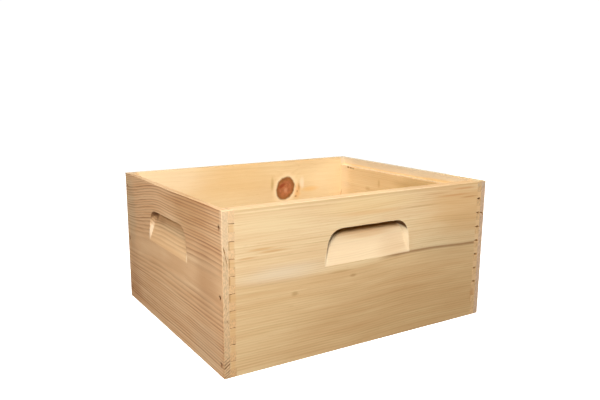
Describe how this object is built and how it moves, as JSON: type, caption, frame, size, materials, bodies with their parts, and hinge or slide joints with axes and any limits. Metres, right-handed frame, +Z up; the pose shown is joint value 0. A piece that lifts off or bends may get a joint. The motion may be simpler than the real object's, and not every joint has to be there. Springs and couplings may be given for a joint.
{
  "type": "hive body",
  "caption": "Open pine beehive box with half-blind finger-jointed, nailed corners, scooped handholds and ledges inside the short ends that carry hanging frames.",
  "frame": {"origin": "middle of the footprint, on the surface that the box stands on", "axes": "+X along the long sides, +Y along the short ends, +Z up through the open top"},
  "size_m": [0.5048, 0.4128, 0.2413],
  "materials": {
    "side_pine": "planed, unpainted",
    "end_pine": "planed, unpainted",
    "nail_steel": "plain wire nail, dulled"
  },
  "bodies": {
    "root": {"front_side_board": "side_pine", "rear_side_board": "side_pine", "left_end_board": "end_pine", "right_end_board": "end_pine", "nail_left_front_1": "nail_steel", "nail_left_front_2": "nail_steel", "nail_left_front_3": "nail_steel", "nail_left_rear_1": "nail_steel", "nail_left_rear_2": "nail_steel", "nail_left_rear_3": "nail_steel", "nail_right_front_1": "nail_steel", "nail_right_front_2": "nail_steel", "nail_right_front_3": "nail_steel", "nail_right_rear_1": "nail_steel", "nail_right_rear_2": "nail_steel", "nail_right_rear_3": "nail_steel"}
  },
  "joints": []
}
